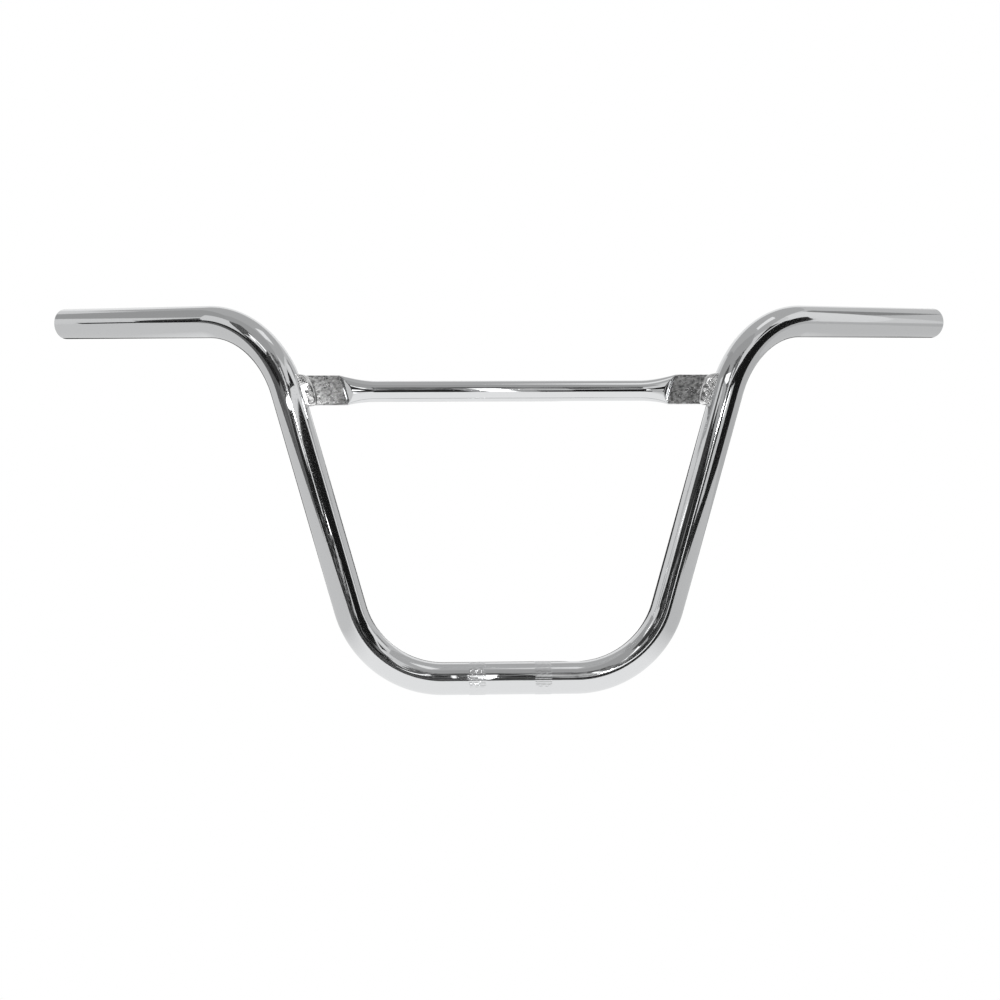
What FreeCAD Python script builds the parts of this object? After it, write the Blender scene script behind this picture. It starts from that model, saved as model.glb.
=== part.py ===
import FreeCAD, Part
import math
import os

from FreeCAD import Matrix, Rotation, Vector

# Driving dimensions, in millimetres and degrees.
# The clamp is centred on the origin along X, the bar rises along +Z and the grips sweep back along +Y.

# Main tube, a 7/8 inch bar bent four times
TUBE_OD = 22.2
TUBE_WALL = 2.0
CLAMP_STRAIGHT = 90.4       # straight run between the lower bends
LOWER_BEND_RADIUS = 65.5    # on the tube's centreline
RISER_LEAN = 15.8           # outward lean of each riser from upright
RISER_STRAIGHT = 154.0
UPPER_BEND_RADIUS = 67.5    # on the tube's centreline
GRIP_SWEEP = 29.3           # rearward turn of each grip
GRIP_TILT = 3.4             # upward tilt of each grip
GRIP_STRAIGHT = 139.0
LIP_ROUND = 0.8             # outer rounding of the cut tube ends

# Knurled bands that the bar clamp bites on
KNURL_SPACING = 44.8        # between the middles of the two bands
KNURL_WIDTH = 12.0
KNURL_RISE = 0.08           # crest of the knurl above the plain tube

# Cross brace, a smaller tube with pressed ends
BRACE_OD = 14.0
BRACE_WALL = 1.5
BRACE_RISE = 0.9            # middle of the flats above the start of the upper bends
FLAT_LENGTH = 27.0          # from the crease to the riser's wall
FLAT_LIFT = 0.8             # middle of the flats above the middle of the round tube
CREASE_DEPTH = 9.0          # front to back of the oval, where the pressing starts
RAMP_SLOPE = 36.0           # of the ramp at the crease, from the flat
ROUND_RUN = 23.0            # length over which the oval turns round again
OVAL_STEPS = 4              # spans between the sections that shape this stretch

# Weld beads between the flats and the risers
WELD_LEG = 6.8              # along the flat, from the riser's wall
WELD_REACH = 5.6            # up the riser's wall, from the middle of the flat
WELD_CROWN = 0.7            # swell of the bead's face
WELD_OVERRUN = 1.6          # past the flat's top and bottom edges
WELD_ROOT_SHARE = 0.8       # depth of the bead's root inside the riser, as a share of its radius
WELD_END_SHARE = 0.5        # size of the bead at its two ends, as a share of its middle
WELD_STEPS = 4              # spans between the sections that shape half the bead

# Directions on the right half of the bar
LEAN = math.radians(RISER_LEAN)
SWEEP = math.radians(GRIP_SWEEP)
TILT = math.radians(GRIP_TILT)
RAMP = math.radians(RAMP_SLOPE)
CLAMP_WAY = Vector(1, 0, 0)
RISER_WAY = Vector(math.sin(LEAN), 0, math.cos(LEAN))
GRIP_WAY = Vector(math.cos(SWEEP) * math.cos(TILT), math.sin(SWEEP) * math.cos(TILT), math.sin(TILT))


def bend_turn(start, way, new_way, bend_radius):
    """Centre, axis and angle of a bend that starts at a point and turns from one way to another."""
    axis = way.cross(new_way).normalize()
    centre = start + axis.cross(way) * bend_radius
    return centre, axis, math.degrees(way.getAngle(new_way))


def bend_end(start, way, new_way, bend_radius):
    """The point where such a bend ends."""
    centre, axis, angle = bend_turn(start, way, new_way, bend_radius)
    return centre + Rotation(axis, angle).multVec(start - centre)


# Points along the right half of the tube's centreline
CLAMP_MIDDLE = Vector(0, 0, 0)
CLAMP_END = CLAMP_WAY * (CLAMP_STRAIGHT / 2)
RISER_FOOT = bend_end(CLAMP_END, CLAMP_WAY, RISER_WAY, LOWER_BEND_RADIUS)
RISER_TOP = RISER_FOOT + RISER_WAY * RISER_STRAIGHT
GRIP_START = bend_end(RISER_TOP, RISER_WAY, GRIP_WAY, UPPER_BEND_RADIUS)
GRIP_END = GRIP_START + GRIP_WAY * GRIP_STRAIGHT

# Sizes of the tubes
TUBE_RADIUS = TUBE_OD / 2
BORE_RADIUS = TUBE_RADIUS - TUBE_WALL
FLAT_THICKNESS = 2 * BRACE_WALL
# A tube pressed flat keeps its girth, as two straight walls and two tight folds.
FLAT_HEIGHT = math.pi * (BRACE_OD - BRACE_WALL) / 2 + BRACE_WALL * (2 - math.pi / 2)

# Places on the right half of the brace
FLAT_JOINT = RISER_TOP + RISER_WAY * (BRACE_RISE / RISER_WAY.z)     # flat's middle line on the riser's
FLAT_WALL_X = FLAT_JOINT.x - TUBE_RADIUS / math.cos(LEAN)           # flat's middle line on the riser's wall
CREASE_X = FLAT_WALL_X - FLAT_LENGTH
ROUND_END_X = CREASE_X - ROUND_RUN
FLAT_LEVEL = FLAT_JOINT.z
BRACE_LEVEL = FLAT_LEVEL - FLAT_LIFT


def mirrored(shape):
    """The same shape on the left half of the bar."""
    return shape.mirror(CLAMP_MIDDLE, CLAMP_WAY)


def disc(centre, way, radius):
    """A flat round face, square to a direction."""
    return Part.Face(Part.Wire([Part.makeCircle(radius, centre, way)]))


def bent_bar(radius):
    """A solid round bar along the whole bent centreline."""
    lower_bend = bend_turn(CLAMP_END, CLAMP_WAY, RISER_WAY, LOWER_BEND_RADIUS)
    upper_bend = bend_turn(RISER_TOP, RISER_WAY, GRIP_WAY, UPPER_BEND_RADIUS)
    half = [
        disc(CLAMP_MIDDLE, CLAMP_WAY, radius).extrude(CLAMP_END),
        disc(CLAMP_END, CLAMP_WAY, radius).revolve(*lower_bend),
        disc(RISER_FOOT, RISER_WAY, radius).extrude(RISER_TOP - RISER_FOOT),
        disc(RISER_TOP, RISER_WAY, radius).revolve(*upper_bend),
        disc(GRIP_START, GRIP_WAY, radius).extrude(GRIP_END - GRIP_START),
    ]
    stretches = half + [mirrored(stretch) for stretch in half]
    return stretches[0].multiFuse(stretches[1:]).removeSplitter()


def lip_edges(bar):
    """The round outer edges at the two cut ends of the bar."""
    ends = [GRIP_END, Vector(-GRIP_END.x, GRIP_END.y, GRIP_END.z)]
    rims = [edge for edge in bar.Edges if isinstance(edge.Curve, Part.Circle)]
    return [rim for rim in rims if any(rim.Curve.Center.isEqual(end, LIP_ROUND) for end in ends)]


def knurl_band(middle):
    """The raised band that the ridges of a knurl stand on, at a distance from the clamp's middle."""
    start = CLAMP_WAY * (middle - KNURL_WIDTH / 2)
    return disc(start, CLAMP_WAY, TUBE_RADIUS + KNURL_RISE).extrude(CLAMP_WAY * KNURL_WIDTH)


def handlebar_tube():
    """The hollow bent tube, with rounded lips and raised knurl bands."""
    bar = bent_bar(TUBE_RADIUS)
    bar = bar.makeFillet(LIP_ROUND, lip_edges(bar))
    bands = [knurl_band(side * KNURL_SPACING / 2) for side in (-1, 1)]
    return bar.multiFuse(bands).cut(bent_bar(BORE_RADIUS))


def brace_section(share, inset):
    """A section of the right half of the brace, from round at share 0 to the leaning oval at share 1."""
    swell = share ** 2
    tall = (BRACE_OD + (FLAT_HEIGHT - BRACE_OD) * swell) / 2 - inset
    deep = (BRACE_OD + (CREASE_DEPTH - BRACE_OD) * swell) / 2 - inset
    x = ROUND_END_X + ROUND_RUN * share
    z = BRACE_LEVEL + FLAT_LIFT * swell
    place = Matrix(
        1, 0, tall * math.tan(LEAN * swell), x,
        0, deep, 0, 0,
        0, 0, tall, z,
        0, 0, 0, 1)
    unit_ring = Part.makeCircle(1, CLAMP_MIDDLE, CLAMP_WAY)
    return Part.Wire(unit_ring.transformGeometry(place).Edges)


def press_die(crease_x, gap):
    """The rear half of the die that presses an end of the brace, beyond a crease that leans as the riser."""
    high = CREASE_DEPTH
    ramp_run = (high - gap) / math.tan(RAMP)
    reach = FLAT_JOINT.x + TUBE_OD
    corners = [(crease_x, gap), (reach, gap), (reach, high), (crease_x - ramp_run, high)]
    foot = RISER_WAY * (-FLAT_HEIGHT)
    outline = Part.makePolygon([Vector(x, y, FLAT_LEVEL) + foot for x, y in corners + corners[:1]])
    return Part.Face(outline).extrude(RISER_WAY * (2 * FLAT_HEIGHT))


def pressed_tube(inset):
    """The outer form of the brace with its two ends pressed, or its inner form at an inset of the wall."""
    start = Vector(-ROUND_END_X, 0, BRACE_LEVEL)
    round_run = Part.makeCylinder(BRACE_OD / 2 - inset, 2 * ROUND_END_X, start, CLAMP_WAY)
    sections = [brace_section(step / OVAL_STEPS, inset) for step in range(OVAL_STEPS + 1)]
    swelling = Part.makeLoft(sections, True)
    flat_run = Part.Face(sections[-1]).extrude(CLAMP_WAY * (FLAT_JOINT.x - CREASE_X))
    rear_die = press_die(CREASE_X - inset * math.tan(RAMP / 2), BRACE_WALL - inset)
    front_die = rear_die.mirror(CLAMP_MIDDLE, Vector(0, 1, 0))
    end = swelling.fuse(flat_run).cut([rear_die, front_die])
    return round_run.multiFuse([end, mirrored(end)]).removeSplitter()


def cross_brace():
    """The hollow brace, its flats coped to the two risers."""
    return pressed_tube(0).cut([pressed_tube(BRACE_WALL), bent_bar(TUBE_RADIUS)])


def weld_section(share):
    """A level section of the right weld, at a share of the bead's half height from its middle."""
    size = 1 - (1 - WELD_END_SHARE) * share ** 4
    half_height = FLAT_HEIGHT / 2 + WELD_OVERRUN
    middle = FLAT_JOINT + RISER_WAY * (share * half_height / RISER_WAY.z)
    wall_x = -TUBE_RADIUS / math.cos(LEAN)
    root = Vector(wall_x * WELD_ROOT_SHARE, WELD_REACH * size, 0)
    toe = Vector(wall_x - WELD_LEG * size, FLAT_THICKNESS / 4 * size, 0)
    chord = toe - root
    crown = (root + toe) / 2 + Vector(chord.y, -chord.x, 0).normalize() * (WELD_CROWN * size)
    rear = [middle + point for point in (root, crown, toe)]
    front = [Vector(point.x, -point.y, point.z) for point in reversed(rear)]
    edges = [
        Part.Arc(*rear).toShape(),
        Part.makeLine(rear[-1], front[0]),
        Part.Arc(*front).toShape(),
        Part.makeLine(front[-1], rear[0]),
    ]
    return Part.Wire(edges)


def weld_right(brace):
    """The bead round the brace's right flat, lying on the riser's wall."""
    sections = [weld_section(step / WELD_STEPS) for step in range(-WELD_STEPS, WELD_STEPS + 1)]
    return Part.makeLoft(sections, True).cut([bent_bar(TUBE_RADIUS), brace])


brace = cross_brace()
weld = weld_right(brace)
pieces = {
    "handlebar_tube": handlebar_tube(),
    "cross_brace": brace,
    "weld_right": weld,
    "weld_left": mirrored(weld),
}
os.makedirs("parts", exist_ok=True)
for name, shape in pieces.items():
    shape.exportStep(f"parts/{name}.step")
    print(name, shape.isValid(), len(shape.Solids), f"{shape.Volume:.1f} mm3")
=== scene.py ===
import math

import bmesh
import bpy
from mathutils import Matrix, Vector


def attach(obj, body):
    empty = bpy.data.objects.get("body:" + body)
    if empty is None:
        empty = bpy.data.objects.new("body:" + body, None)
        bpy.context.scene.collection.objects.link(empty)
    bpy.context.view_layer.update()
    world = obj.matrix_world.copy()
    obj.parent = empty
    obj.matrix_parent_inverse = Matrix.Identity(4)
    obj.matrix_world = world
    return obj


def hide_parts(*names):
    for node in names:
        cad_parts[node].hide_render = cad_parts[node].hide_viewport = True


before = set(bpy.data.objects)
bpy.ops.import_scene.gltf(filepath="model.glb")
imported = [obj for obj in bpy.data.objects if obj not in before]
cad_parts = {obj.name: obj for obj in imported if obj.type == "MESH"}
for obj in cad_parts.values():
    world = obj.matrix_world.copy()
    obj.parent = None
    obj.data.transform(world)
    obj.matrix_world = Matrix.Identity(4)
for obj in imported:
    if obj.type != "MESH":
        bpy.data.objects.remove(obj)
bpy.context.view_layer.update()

# Handlebar tube
# A 22.2 mm steel tube, bent cold round a former at four places and cut square at its two ends.
# It is polished and chrome plated all over, so it shows its surroundings with soft waves in them.
MM = 0.001
TUBE_RADIUS = 11.1 * MM
TUBE_WALL = 2.0 * MM
CLAMP_STRAIGHT = 90.4 * MM
LOWER_BEND_RADIUS = 65.5 * MM
RISER_LEAN = math.radians(15.8)
RISER_STRAIGHT = 154.0 * MM
UPPER_BEND_RADIUS = 67.5 * MM
GRIP_SWEEP = math.radians(29.3)
GRIP_TILT = math.radians(3.4)
GRIP_STRAIGHT = 139.0 * MM
LIP_ROUND = 0.8 * MM
LIP_STEPS = 5
TUBE_SIDES = 96
BEND_STEPS = 56
MERGE_DISTANCE = 0.01 * MM
CHROME_COLOUR = "#DEDFE0"

CLAMP_WAY = Vector((1, 0, 0))
RISER_WAY = Vector((math.sin(RISER_LEAN), 0, math.cos(RISER_LEAN)))
GRIP_WAY = Vector((
    math.cos(GRIP_SWEEP) * math.cos(GRIP_TILT),
    math.sin(GRIP_SWEEP) * math.cos(GRIP_TILT),
    math.sin(GRIP_TILT)))


def edit(piece):
    """Opens a piece in edit mode, by itself, with everything in it selected."""
    bpy.ops.object.select_all(action="DESELECT")
    piece.select_set(True)
    bpy.context.view_layer.objects.active = piece
    bpy.ops.object.mode_set(mode="EDIT")
    bpy.ops.mesh.select_all(action="SELECT")


def close():
    """Leaves edit mode."""
    bpy.ops.object.mode_set(mode="OBJECT")


def ring(name, sides, radius, place):
    """A new piece that starts as an open ring of vertices, square to the clamp."""
    bpy.ops.object.select_all(action="DESELECT")
    bpy.ops.mesh.primitive_circle_add(
        vertices=sides, radius=radius, location=place, rotation=(0, math.pi / 2, 0))
    piece = bpy.context.object
    piece.name = name
    bpy.ops.object.transform_apply(location=True, rotation=True, scale=True)
    return piece


def pull(step, scale=1):
    """Extrudes what is selected by a step, and scales the new ring about the clamp's axis."""
    bpy.ops.mesh.extrude_region_move(TRANSFORM_OT_translate={"value": step})
    if scale != 1:
        bpy.ops.transform.resize(value=(1, scale, scale), center_override=(0, 0, 0))


def bend(start, way, new_way, radius):
    """Spins the selected ring round a bend of the centreline, and gives the point where the bend ends."""
    axis = way.cross(new_way).normalized()
    middle = start + axis.cross(way) * radius
    angle = way.angle(new_way)
    bpy.ops.mesh.spin(steps=BEND_STEPS, angle=-angle, center=middle, axis=axis)
    return middle + Matrix.Rotation(angle, 3, axis) @ (start - middle)


def finish_with(piece, kind, **settings):
    """Adds a modifier to a piece and applies it."""
    modifier = piece.modifiers.new(kind.lower(), kind)
    for field, value in settings.items():
        setattr(modifier, field, value)
    bpy.context.view_layer.objects.active = piece
    bpy.ops.object.modifier_apply(modifier=modifier.name)


def both_halves(piece):
    """Mirrors the right half of a piece to the left, joins them and turns the faces outwards."""
    finish_with(piece, "MIRROR", use_axis=(True, False, False), merge_threshold=MERGE_DISTANCE)
    edit(piece)
    bpy.ops.mesh.remove_doubles(threshold=MERGE_DISTANCE)
    bpy.ops.mesh.normals_make_consistent(inside=False)
    close()


def smooth(piece, angle):
    """Shades a piece smooth, apart from edges sharper than an angle in degrees."""
    bpy.ops.object.select_all(action="DESELECT")
    piece.select_set(True)
    bpy.context.view_layer.objects.active = piece
    bpy.ops.object.shade_smooth_by_angle(angle=math.radians(angle))


tube = ring("bent_tube", TUBE_SIDES, TUBE_RADIUS, (0, 0, 0))
edit(tube)
clamp_end = CLAMP_WAY * (CLAMP_STRAIGHT / 2)
pull(clamp_end)
riser_foot = bend(clamp_end, CLAMP_WAY, RISER_WAY, LOWER_BEND_RADIUS)
riser_top = riser_foot + RISER_WAY * RISER_STRAIGHT
pull(riser_top - riser_foot)
grip_start = bend(riser_top, RISER_WAY, GRIP_WAY, UPPER_BEND_RADIUS)
grip_end = grip_start + GRIP_WAY * GRIP_STRAIGHT
pull(grip_end - grip_start)
close()
both_halves(tube)


def unbent(point, start, way, end, new_way, radius):
    """Where a point of the tube lies once a bend is straightened out."""
    axis = way.cross(new_way).normalized()
    middle = start + axis.cross(way) * radius
    turn = way.angle(new_way)
    if (point - end).dot(new_way) < 0:
        if (point - start).dot(way) <= 0:
            return point
        first, arm = start - middle, point - middle
        turn = math.atan2(axis.dot(first.cross(arm)), first.dot(arm))
    return middle + Matrix.Rotation(-turn, 3, axis) @ (point - middle) + way * (turn * radius)


# The polishing lines follow the bar, so each vertex also keeps its place on the bar before it was bent.
straight = tube.data.attributes.new("straight", "FLOAT_VECTOR", "POINT")
for vertex in tube.data.vertices:
    spot = Vector((abs(vertex.co.x), vertex.co.y, vertex.co.z))
    spot = unbent(spot, riser_top, RISER_WAY, grip_start, GRIP_WAY, UPPER_BEND_RADIUS)
    spot = unbent(spot, clamp_end, CLAMP_WAY, riser_foot, RISER_WAY, LOWER_BEND_RADIUS)
    straight.data[vertex.index].vector = (math.copysign(spot.x, vertex.co.x), spot.y, spot.z)

finish_with(tube, "SOLIDIFY", thickness=TUBE_WALL, offset=-1, use_even_offset=True, use_rim=True)
edit(tube)
bpy.ops.mesh.select_mode(type="EDGE")
bpy.ops.mesh.select_all(action="DESELECT")
mesh = bmesh.from_edit_mesh(tube.data)
for edge in mesh.edges:
    arms = [Vector((abs(v.co.x), v.co.y, v.co.z)) - grip_end for v in edge.verts]
    at_end = all(abs(arm.dot(GRIP_WAY)) < LIP_ROUND / 10 for arm in arms)
    if at_end and all(arm.length > TUBE_RADIUS - TUBE_WALL / 2 for arm in arms):
        edge.select_set(True)
bmesh.update_edit_mesh(tube.data)
bpy.ops.mesh.bevel(offset=LIP_ROUND, segments=LIP_STEPS, affect="EDGES")
bpy.ops.mesh.select_mode(type="VERT")
close()
smooth(tube, 40)


def linear(shade):
    """An sRGB hex colour as linear red, green, blue and alpha."""
    parts = [int(shade[i:i + 2], 16) / 255 for i in (1, 3, 5)]
    return [c / 12.92 if c <= 0.04045 else ((c + 0.055) / 1.055) ** 2.4 for c in parts] + [1]


def add_node(tree, kind, inputs, **settings):
    """Adds a node to a material, with its settings, and fills or links its inputs."""
    node = tree.nodes.new(kind)
    for field, value in settings.items():
        setattr(node, field, value)
    for socket, value in inputs.items():
        if isinstance(value, bpy.types.NodeSocket):
            tree.links.new(value, node.inputs[socket])
        else:
            node.inputs[socket].default_value = value
    return node


def new_material(name):
    """A new material and its node tree, shader and Object coordinates."""
    material = bpy.data.materials.new(name)
    material.use_nodes = True
    tree = material.node_tree
    place = tree.nodes.new("ShaderNodeTexCoord").outputs["Object"]
    return material, tree, tree.nodes["Principled BSDF"], place


def stretched(tree, place, along, across):
    """Coordinates for a texture of marks this long and this wide, along the clamp's way."""
    return add_node(tree, "ShaderNodeVectorMath", {
        0: place, 1: (1 / along, 1 / across, 1 / across)}, operation="MULTIPLY").outputs["Vector"]


def noise(tree, place, detail):
    """A noise's height at each place."""
    node = add_node(tree, "ShaderNodeTexNoise", {"Vector": place, "Scale": 1, "Detail": detail})
    return node.outputs["Fac"]


def ranged(tree, value, low, high, to_low, to_high):
    """A value taken from one range to another."""
    node = add_node(tree, "ShaderNodeMapRange", {
        "Value": value, "From Min": low, "From Max": high, "To Min": to_low, "To Max": to_high})
    return node.outputs["Result"]


def relief(tree, height, depth, below=None):
    """A bump of a real depth, laid over another one."""
    inputs = {"Height": height, "Strength": 1, "Distance": depth}
    if below:
        inputs["Normal"] = below
    return add_node(tree, "ShaderNodeBump", inputs).outputs["Normal"]


# Polished chrome plate: a bright metal, with slow waves and lengthwise lines left by the polishing wheel,
# fine grain in the plating and specks of dust.
polished_chrome, tree, shader, place = new_material("polished_chrome_plate")
shader.inputs["Base Color"].default_value = linear(CHROME_COLOUR)
shader.inputs["Metallic"].default_value = 1
place = add_node(tree, "ShaderNodeAttribute", {}, attribute_name="straight").outputs["Vector"]
waves = relief(tree, noise(tree, stretched(tree, place, 60 * MM, 10 * MM), 1), 0.06 * MM)
lines = relief(tree, noise(tree, stretched(tree, place, 50 * MM, 1.2 * MM), 2), 0.006 * MM, waves)
grain = relief(tree, noise(tree, stretched(tree, place, 2.4 * MM, 0.9 * MM), 2), 0.0025 * MM, lines)
tree.links.new(grain, shader.inputs["Normal"])
dust = noise(tree, stretched(tree, place, 0.9 * MM, 0.7 * MM), 2)
film = noise(tree, stretched(tree, place, 60 * MM, 9 * MM), 3)
specks = ranged(tree, dust, 0.66, 0.74, 0, 0.22)
haze = ranged(tree, film, 0.35, 0.75, 0.02, 0.06)
gloss = add_node(tree, "ShaderNodeMath", {0: specks, 1: haze}, operation="ADD").outputs["Value"]
tree.links.new(gloss, shader.inputs["Roughness"])
# Fine wear in the plate lays a faint broad shine over the clear one.
wear = add_node(tree, "ShaderNodeBsdfAnisotropic", {
    "Color": linear(CHROME_COLOUR), "Roughness": 0.24, "Normal": grain})
mix = add_node(tree, "ShaderNodeMixShader", {0: 0.06, 1: shader.outputs["BSDF"], 2: wear.outputs["BSDF"]})
tree.links.new(mix.outputs["Shader"], tree.nodes["Material Output"].inputs["Surface"])
tube.data.materials.append(polished_chrome)
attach(tube, "root")
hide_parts("handlebar_tube")

# Knurled bands
# Two bands of straight ridges, rolled into the clamp's run before plating so that the bar clamp can bite.
# Each is the tube's own steel, so it is plated with it. The rolls bit unevenly, so the ridges are broken.
KNURL_MIDDLE = 22.4 * MM
KNURL_WIDTH = 12.0 * MM
KNURL_CREST = 0.16 * MM
KNURL_ROOT = -0.05 * MM
KNURL_RIDGES = 60
RIDGE_POINTS = 10
RIDGE_STEPS = 16

for side, name in ((-1, "knurl_left"), (1, "knurl_right")):
    start = side * KNURL_MIDDLE - KNURL_WIDTH / 2
    knurl = ring(name, KNURL_RIDGES * RIDGE_POINTS, TUBE_RADIUS + KNURL_ROOT, (start, 0, 0))
    edit(knurl)
    for step in range(RIDGE_STEPS):
        pull(CLAMP_WAY * (KNURL_WIDTH / RIDGE_STEPS))
    close()
    straight = knurl.data.attributes.new("straight", "FLOAT_VECTOR", "POINT")
    for vertex in knurl.data.vertices:
        turn = math.atan2(vertex.co.z, vertex.co.y) / math.tau * KNURL_RIDGES
        along = (vertex.co.x - start) / KNURL_WIDTH
        row = math.floor(turn + 0.5)
        bite = 0.64 + 0.2 * math.sin(along * 19 + row * 2.4 + side) + 0.16 * math.sin(along * 31 + row * 4.1)
        ridge = (0.5 + 0.5 * math.cos((turn - row) * math.tau)) ** 2
        if 0.01 < along < 0.99:
            rise = (KNURL_CREST * bite - KNURL_ROOT) * ridge
            vertex.co.yz = vertex.co.yz * (1 + rise / (TUBE_RADIUS + KNURL_ROOT))
        straight.data[vertex.index].vector = vertex.co
    smooth(knurl, 60)
    knurl.data.materials.append(polished_chrome)
    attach(knurl, "root")

# Cross brace
# A 14 mm steel tube, its two ends squeezed to an oval and pressed flat between dies, then coped to the
# risers. It is chrome plated with the bar. The dies leave their marks on the flats, which shine less than
# the round tube.
BRACE_RADIUS = 7.0 * MM
BRACE_WALL = 1.5 * MM
BRACE_RISE = 0.9 * MM
FLAT_LENGTH = 27.0 * MM
FLAT_LIFT = 0.8 * MM
CREASE_DEPTH = 9.0 * MM
RAMP_SLOPE = math.radians(36)
ROUND_RUN = 23.0 * MM
FLAT_SINK = 1.2 * MM
FOLD_ROUND = 0.12 * MM
FINE_BEFORE = 9.0 * MM
FINE_AFTER = 3.0 * MM
ROUND_STEPS = 14
FINE_STEPS = 48
FLAT_STEPS = 20
BRACE_SIDES = 128
FLAT_HEIGHT = math.pi * (BRACE_RADIUS - BRACE_WALL / 2) + BRACE_WALL * (2 - math.pi / 2)

flat_joint = riser_top + RISER_WAY * (BRACE_RISE / RISER_WAY.z)
flat_wall = flat_joint.x - TUBE_RADIUS / math.cos(RISER_LEAN)
crease = flat_wall - FLAT_LENGTH
round_end = crease - ROUND_RUN
brace_level = flat_joint.z - FLAT_LIFT

# The brace's rings lie closer to one another round the crease.
stations = [round_end]
for first, last, steps in (
        (round_end, crease - FINE_BEFORE, ROUND_STEPS),
        (crease - FINE_BEFORE, crease + FINE_AFTER, FINE_STEPS),
        (crease + FINE_AFTER, flat_wall + FLAT_SINK, FLAT_STEPS)):
    stations += [first + (last - first) * step / steps for step in range(1, steps + 1)]

brace = ring("pressed_brace", BRACE_SIDES, BRACE_RADIUS, (0, 0, brace_level))
edit(brace)
reached = 0
for station in stations:
    pull((station - reached, 0, 0))
    reached = station
bpy.ops.mesh.edge_face_add()
close()


def lesser(a, b, rounding):
    """The lesser of two lengths, rounded where they cross."""
    gap = max(rounding - abs(a - b), 0) / rounding
    return min(a, b) - gap * gap * rounding / 4


for vertex in brace.data.vertices:
    x, y, z = vertex.co
    share = min(max((x - round_end) / ROUND_RUN, 0), 1) ** 2
    tall = 1 + (FLAT_HEIGHT / 2 / BRACE_RADIUS - 1) * share
    deep = 1 + (CREASE_DEPTH / 2 / BRACE_RADIUS - 1) * share
    rise = (z - brace_level) * tall
    x += rise * math.tan(RISER_LEAN * share)
    z = brace_level + FLAT_LIFT * share + rise
    before = max(crease + (z - flat_joint.z) * math.tan(RISER_LEAN) - x, 0)
    room = BRACE_WALL + before * math.tan(RAMP_SLOPE)
    y = math.copysign(lesser(abs(y) * deep, room, FOLD_ROUND), y)
    vertex.co = (x, y, z)
both_halves(brace)
smooth(brace, 20)

# Brace chrome: the same plate over a drawn tube, whose lines run its whole length.
drawn_chrome, tree, shader, place = new_material("drawn_tube_chrome")
shader.inputs["Base Color"].default_value = linear(CHROME_COLOUR)
shader.inputs["Metallic"].default_value = 1
waves = relief(tree, noise(tree, stretched(tree, place, 50 * MM, 9 * MM), 1), 0.02 * MM)
lines = relief(tree, noise(tree, stretched(tree, place, 90 * MM, 0.9 * MM), 2), 0.004 * MM, waves)
tree.links.new(lines, shader.inputs["Normal"])
dust = noise(tree, stretched(tree, place, 0.9 * MM, 0.7 * MM), 2)
tree.links.new(ranged(tree, dust, 0.64, 0.74, 0.03, 0.22), shader.inputs["Roughness"])

# Pressed chrome: thin plate over the die's print, satin and grey, with mottles, slanting strokes and
# dull pits.
pressed_chrome, tree, shader, place = new_material("die_pressed_chrome")
shader.inputs["Metallic"].default_value = 1
mottle = noise(tree, stretched(tree, place, 6 * MM, 4 * MM), 2)
pits = noise(tree, stretched(tree, place, 1.5 * MM, 0.9 * MM), 3)
slant = add_node(tree, "ShaderNodeVectorRotate", {
    "Vector": place, "Angle": math.radians(24)}, rotation_type="Y_AXIS")
strokes = noise(tree, stretched(tree, slant.outputs["Vector"], 7 * MM, 0.5 * MM), 1)
dents = relief(tree, mottle, 0.1 * MM)
holes = relief(tree, ranged(tree, pits, 0.64, 0.76, 1, 0), 0.02 * MM, dents)
scratches = relief(tree, strokes, 0.006 * MM, holes)
tree.links.new(scratches, shader.inputs["Normal"])
tree.links.new(ranged(tree, mottle, 0.3, 0.7, 0.24, 0.36), shader.inputs["Roughness"])
patch = noise(tree, stretched(tree, place, 2.4 * MM, 1.9 * MM), 3)


def blend(tree, share, colour, other):
    """One colour laid over another by a share."""
    node = add_node(tree, "ShaderNodeMix", {"Factor": share, 6: colour, 7: other}, data_type="RGBA")
    return node.outputs[2]


cloudy = blend(tree, ranged(tree, patch, 0.38, 0.66, 0, 1), linear("#CACACA"), linear("#6E6E6E"))
bright = blend(tree, ranged(tree, strokes, 0.58, 0.7, 0, 0.7), cloudy, linear("#F2F2F2"))
worn = blend(tree, ranged(tree, pits, 0.58, 0.68, 0, 0.7), bright, linear("#4A4A4A"))
tree.links.new(worn, shader.inputs["Base Color"])

brace.data.materials.append(drawn_chrome)
brace.data.materials.append(pressed_chrome)
for face in brace.data.polygons:
    edge_x = crease + (face.center.z - flat_joint.z) * math.tan(RISER_LEAN)
    if abs(face.center.x) > edge_x:
        face.material_index = 1
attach(brace, "root")
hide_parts("cross_brace")

# Weld beads
# A bead runs round each flat where it meets the riser. It is steel melted in from a rod, left as it cooled
# in a few run-together lumps, and plated over.
WELD_LEG = 7.8 * MM
WELD_REACH = 5.2 * MM
WELD_OVERRUN = 0.4 * MM
WELD_ROOT_SHARE = 0.8
WELD_SHOULDER = 6
WELD_SLOPE = 0.14
WELD_END = 3.2
WELD_LEAST = 0.02
WELD_FACE_SHARE = 1.3
WELD_TOE_SINK = 0.1 * MM
WELD_MERGE = 0.002 * MM
WELD_ROWS = 96
WELD_SIDES = 120
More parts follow.
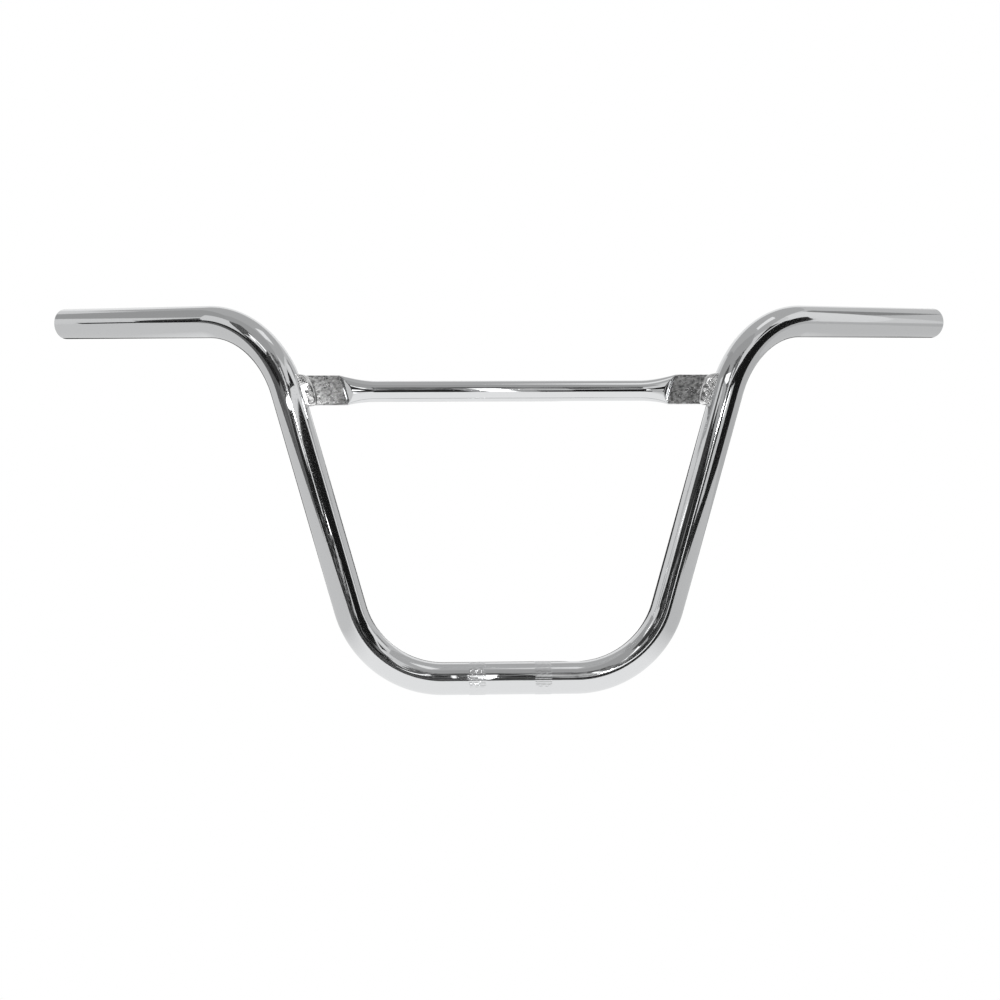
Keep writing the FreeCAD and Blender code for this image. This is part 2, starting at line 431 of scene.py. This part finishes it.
# Each lump: its height up the bead from -1 to 1, its place from the riser at 0 to the flat at 1, its size
# and its rise.
WELD_LUMPS = {
    "left": (
        (0.4, 0.7, 5.5 * MM, 0.6 * MM), (-0.25, 0.5, 2.6 * MM, 0.4 * MM), (-0.42, 0.75, 2.4 * MM, 0.3 * MM),
        (-0.7, 0.6, 1.8 * MM, -1.6 * MM), (-0.94, 0.6, 2.0 * MM, 0.4 * MM)),
    "right": (
        (0.66, 0.5, 3.6 * MM, 0.4 * MM), (0.32, 0.7, 2.6 * MM, 0.4 * MM), (0.12, 0.4, 2.8 * MM, 0.4 * MM),
        (-0.2, 0.65, 2.4 * MM, 0.4 * MM), (-0.45, 0.45, 2.6 * MM, 0.4 * MM), (-0.78, 0.6, 2.8 * MM, 0.4 * MM)),
}


def bead_outline(part, size, swelling):
    """A point of the bead's level outline, from the riser's rear wall round the flat to its front wall."""
    wall = TUBE_RADIUS / math.cos(RISER_LEAN)
    down = 1 - abs(part)
    root_x, toe_x = -wall * WELD_ROOT_SHARE, -wall - WELD_LEG * size
    toe_y = BRACE_WALL - WELD_TOE_SINK
    shoulder = math.sqrt(1 - down ** WELD_SHOULDER) * (1 - WELD_SLOPE * down)
    y = (toe_y + (WELD_REACH - toe_y) * shoulder + swelling) * min(size * 3, 1)
    return Vector((root_x + (toe_x - root_x) * down, math.copysign(y, part), 0))


# Weld chrome: plate over a rough bead, so it shines but holds no clear picture.
bead_chrome, tree, shader, place = new_material("weld_bead_chrome")
shader.inputs["Base Color"].default_value = linear("#F2F2F2")
shader.inputs["Metallic"].default_value = 1
crust = relief(tree, noise(tree, stretched(tree, place, 1.8 * MM, 1.8 * MM), 1), 0.02 * MM)
tree.links.new(crust, shader.inputs["Normal"])
soot = noise(tree, stretched(tree, place, 1.6 * MM, 1.6 * MM), 3)
tree.links.new(ranged(tree, soot, 0.35, 0.75, 0.18, 0.34), shader.inputs["Roughness"])

for side, name in ((-1, "left"), (1, "right")):
    half_height = FLAT_HEIGHT / 2 + WELD_OVERRUN
    weld = ring("weld_bead_" + name, WELD_SIDES, 1 * MM, (-1, 0, 0))
    edit(weld)
    for row in range(WELD_ROWS):
        pull(CLAMP_WAY * (2 / WELD_ROWS))
    close()
    for vertex in weld.data.vertices:
        up = math.sin(vertex.co.x * math.pi / 2)
        part = math.atan2(vertex.co.y, vertex.co.z) / math.pi
        size = max(1 - abs(up) ** WELD_END, 0) ** (1 / WELD_END)
        swelling = 0
        for lump_up, lump_part, spread, rise in WELD_LUMPS[name]:
            rise_away = (up - lump_up) * half_height
            face_away = (1 - abs(part) - lump_part) * WELD_LEG * WELD_FACE_SHARE
            far = Vector((rise_away, face_away)).length
            swelling += rise * math.exp(-(far / spread) ** 2 * 2) * size
        swelling *= 1 - abs(2 * abs(part) - 1) ** 4
        middle = flat_joint + RISER_WAY * (up * half_height / RISER_WAY.z)
        spot = middle + bead_outline(part, max(size, WELD_LEAST), swelling)
        vertex.co = (spot.x * side, spot.y, spot.z)
    edit(weld)
    bpy.ops.mesh.remove_doubles(threshold=WELD_MERGE)
    bpy.ops.mesh.normals_make_consistent(inside=False)
    close()
    smooth(weld, 70)
    weld.data.materials.append(bead_chrome)
    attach(weld, "root")
    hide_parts("weld_" + name)

# Stage
# A white floor and backdrop, with cards round the bar for the bright and dark things that the chrome shows.
# Only reflections see the cards.
FLOOR_LEVEL = -340 * MM
FLOOR_SIZE = 40
CARD_HUB = Vector((0, 0, 0.12))
# Each card: azimuth, elevation, distance in metres, half width and half height, roll, light and clutter.
# Angles are in degrees, seen from the middle of the bar, and azimuth 0 is towards the camera.
# About half of the cards were found by a search that fitted them to the photograph's reflections, and were
# then rounded. The others were set one by one. The names only tell the cards apart.
CARDS = {
    "ceiling": (0, 90, 4, 40, 40, 0, 0.5, 0),
    "back_wall": (180, 21, 4.1, 32.5, 29, 0, 0.93, 0),
    "right_wall": (118.5, 21, 4.2, 29, 29, 0, 0.62, 0),
    "left_wall": (-82, 40, 4.3, 24, 17, 0, 0.4, 0),
    "dark_room": (-13.5, 6.6, 2.1, 64, 13.6, -2, 0.01, 0.06),
    "dark_floor": (6, -9.7, 2.08, 15, 3.2, 0, 0.01, 0.03),
    "dark_room_right": (52.6, 7.8, 2.09, 23.4, 17.6, -1, 0.01, 0),
    "door_gap": (1.25, 9, 1.93, 1.05, 22, 2, 1.6, 0),
    "door_glow": (1.4, 9, 1.94, 2.4, 22, 2, 0.4, 0),
    "left_window": (-32.7, 27, 4, 17, 5, -10, 1.6, 0),
    "left_upper_wall": (-24, 48, 4, 29, 26, -40, 0.42, 0),
    "front_window": (7.6, 16, 4, 23.3, 5.4, -6, 1.24, 0),
    "right_screen": (77.6, 25, 2.49, 10, 22.2, -11, 0.88, 0),
    "left_low_shelf": (-53, -1.8, 1.53, 21, 5.5, -4.5, 0.1, 0.25),
    "left_screen": (-66.7, 23.6, 1.74, 7.3, 12.5, 7.5, 0.78, 0),
    "left_box": (-30.3, 4.8, 1.37, 9.8, 3.1, 34, 0.2, 0),
    "right_beam": (98.7, 38.8, 4, 8.5, 6.5, 13.6, 0.29, 0),
    "right_table": (110.7, -18.3, 2.39, 36.7, 17.5, 1, 0.55, 0),
    "right_dark_shelf": (29.8, 12.5, 2.09, 46, 7.6, -3, 0.01, 0),
    "right_dark_board": (53.8, 24.5, 2.46, 13.9, 9.5, -46, 0.01, 0),
    "left_dark_board": (-52.2, 29.2, 4, 8, 28.7, -45, 0.1, 0),
    "right_box": (24, 2, 2.05, 8, 5, -7, 0.7, 0),
    "left_rail": (-23.3, 20.2, 1.56, 18, 2.7, -28, 0.49, 0),
    "right_rail": (33.6, 25.8, 0.75, 32.7, 1.7, 17.7, 0.89, 0),
    "left_dark_rail": (-80, 4.2, 2.05, 6, 2.4, 1.5, 0.01, 0),
    "near_dark": (-35, 21.6, 0.45, 13, 8.3, -37, 0.05, 0),
    "high_lamp": (50.7, 75.8, 4, 9.3, 9.2, -16, 1, 0),
    "front_clutter": (2, 26.5, 2.05, 11, 14.5, 0, 0.06, 0.7),
    "lamp": (1.4, 9.9, 1.9, 1.2, 0.9, 0, 25, 0),
    "right_haze": (5, 19, 2.0, 1.5, 17, 0, 0.3, 0.9),
    "right_lamp": (17.7, 6.1, 1.96, 1.5, 0.8, 0, 6, 0),
    "rear_room": (184, 2, 1.6, 36, 12, 0, 0.02, 0.1),
    "rear_door": (170, 2, 1.58, 4, 12, 2, 1.1, 0),
}


def glow(name, light, clutter, grain=0.04):
    """A material that gives a grey light, even or broken by lighter things of a size in metres."""
    material, tree, shader, place = new_material(name)
    level = light
    if clutter:
        things = noise(tree, stretched(tree, place, grain * 2, grain), 2)
        level = ranged(tree, things, 0.5, 0.7, light, clutter)
    lamp = add_node(tree, "ShaderNodeEmission", {"Strength": level})
    tree.links.new(lamp.outputs["Emission"], tree.nodes["Material Output"].inputs["Surface"])
    tree.nodes.remove(shader)
    return material


def hang_card(name, corners, material):
    """A card through four corners, given row by row, which only reflections see."""
    bpy.ops.object.select_all(action="DESELECT")
    bpy.ops.mesh.primitive_plane_add(size=2)
    card = bpy.context.object
    card.name = name
    for vertex, corner in zip(card.data.vertices, corners):
        vertex.co = corner
    card.data.materials.append(material)
    card.visible_camera = False


def card_corners(middle, across, up):
    """The corners of a card about its middle, from its half width and half height as vectors."""
    return [middle + across * x + up * y for y in (-1, 1) for x in (-1, 1)]


for name, (azimuth, elevation, distance, half_width, half_height, roll, light, clutter) in CARDS.items():
    a, e = math.radians(azimuth), math.radians(elevation)
    way = Vector((math.sin(a) * math.cos(e), -math.cos(a) * math.cos(e), math.sin(e)))
    level = Vector((math.cos(a), math.sin(a), 0))
    turn = Matrix.Rotation(math.radians(roll), 3, way)
    across = turn @ level * (distance * math.tan(math.radians(half_width)))
    up = turn @ level.cross(-way) * (distance * math.tan(math.radians(half_height)))
    hang_card(name, card_corners(CARD_HUB + way * distance, across, up), glow(name, light, clutter))

# Two dark things and a small lamp lie in front, on a line of sight from the brace, so that only the clamp
# shows them. The light from the door falls between the dark things.
# Each: its left and right edges, how far its right edge tapers, its near and far edges, its drop below that
# line of sight, its light and its clutter.
TABLE_TOP = 0.196
TABLE_FALL = 0.383
TABLE_GRAIN = 0.012
TABLE_PARTS = {
    "table_dark_left": (-0.17, -0.027, 0, 0.196, 0.87, 0, 0.01, 0.4),
    "table_dark_right": (-0.002, 0.17, 0.15, 0.196, 0.87, 0, 0.01, 0.4),
    "table_lamp": (-0.041, -0.037, 0, 0.21, 0.34, 0.002, 1.6, 0),
}
for name, (left, right, taper, near, far, drop, light, clutter) in TABLE_PARTS.items():
    spots = [(left, far), (right, far), (left, near), (right - taper, near)]
    corners = [(x, -ahead, TABLE_TOP - ahead * TABLE_FALL - drop) for x, ahead in spots]
    hang_card(name, corners, glow(name, light, clutter, TABLE_GRAIN))

# Two soft lamps close to the left riser give it a star of light with a streak below, and light the flat
# beside it.
# Each lamp: its distance down from the star, half width and half height, and its light.
STAR_PLACE = Vector((-0.156, -0.1093, 0.197))
SOFT_LAMPS = {
    "star": (0, 0.038, 0.006, 8.5),
    "streak": (0.032, 0.012, 0.024, 1.4),
}
riser_up = Vector((-RISER_WAY.x, 0, RISER_WAY.z))
riser_across = riser_up.cross(Vector((0, 1, 0)))
for name, (down, half_width, half_height, light) in SOFT_LAMPS.items():
    soft, tree, shader, place = new_material("soft_lamp_" + name)
    spot = add_node(tree, "ShaderNodeUVMap", {}).outputs["UV"]
    arm = add_node(tree, "ShaderNodeVectorMath", {0: spot, 1: (0.5, 0.5, 0)}, operation="DISTANCE")
    share = ranged(tree, arm.outputs["Value"], 0.1, 0.5, 1, 0)
    shine = add_node(tree, "ShaderNodeEmission", {"Strength": light}).outputs["Emission"]
    clear = add_node(tree, "ShaderNodeBsdfTransparent", {}).outputs["BSDF"]
    fade = add_node(tree, "ShaderNodeMixShader", {0: share, 1: clear, 2: shine})
    tree.links.new(fade.outputs["Shader"], tree.nodes["Material Output"].inputs["Surface"])
    tree.nodes.remove(shader)
    middle = STAR_PLACE - riser_up * down
    hang_card(name, card_corners(middle, riser_across * half_width, riser_up * half_height), soft)

bpy.ops.object.select_all(action="DESELECT")
bpy.ops.mesh.primitive_plane_add(size=FLOOR_SIZE, location=(0, 0, FLOOR_LEVEL))
floor = bpy.context.object
floor.name = "floor"
bpy.ops.object.transform_apply(location=True, rotation=True, scale=True)
white, tree, shader, place = new_material("white_floor")
shader.inputs["Base Color"].default_value = linear("#F4F4F4")
shader.inputs["Roughness"].default_value = 0.9
path = add_node(tree, "ShaderNodeLightPath", {})
seen = add_node(tree, "ShaderNodeMath", {
    0: path.outputs["Is Camera Ray"], 1: path.outputs["Is Glossy Ray"]}, operation="MAXIMUM")
# Painted shade: reflections see the floor glow darker towards its left and right ends, at 0.7 and 0.64 of
# white. The camera sees it evenly white.
across = add_node(tree, "ShaderNodeSeparateXYZ", {0: place}).outputs["X"]
left_painted_shade = ranged(tree, across, -0.8, -0.42, 0.7, 1)
right_painted_shade = ranged(tree, across, 0.42, 0.8, 1, 0.64)
painted_side_shade = add_node(tree, "ShaderNodeMath", {0: left_painted_shade, 1: right_painted_shade}, operation="MINIMUM")
level = add_node(tree, "ShaderNodeMath", {
    0: path.outputs["Is Camera Ray"], 1: painted_side_shade.outputs["Value"]}, operation="MAXIMUM")
shine = add_node(tree, "ShaderNodeEmission", {"Strength": level.outputs["Value"]})
mix = add_node(tree, "ShaderNodeMixShader", {
    0: seen.outputs["Value"], 1: shader.outputs["BSDF"], 2: shine.outputs["Emission"]})
tree.links.new(mix.outputs["Shader"], tree.nodes["Material Output"].inputs["Surface"])
floor.data.materials.append(white)

world = bpy.data.worlds.new("white_room")
bpy.context.scene.world = world
world.use_nodes = True
sky = world.node_tree
sky.nodes["Background"].inputs["Color"].default_value = (1, 1, 1, 1)
path = add_node(sky, "ShaderNodeLightPath", {})
level = ranged(sky, path.outputs["Is Camera Ray"], 0, 1, 0.77, 1)
sky.links.new(level, sky.nodes["Background"].inputs["Strength"])

# Camera
# Level with the middle of the bar and a little to its left, as in the photograph.
CAMERA_PLACE = (-0.03263, -0.8494, 0.12158)
CAMERA_TURN = (90, 0.319, -1.785)
CAMERA_LENS = 44.82
camera = bpy.data.objects.new("camera", bpy.data.cameras.new("camera"))
bpy.context.scene.collection.objects.link(camera)
camera.location = CAMERA_PLACE
camera.rotation_euler = [math.radians(angle) for angle in CAMERA_TURN]
camera.data.sensor_width = 36
camera.data.lens = CAMERA_LENS
camera.data.clip_start = 0.01
bpy.context.scene.camera = camera
bpy.context.scene.view_settings.view_transform = "Standard"
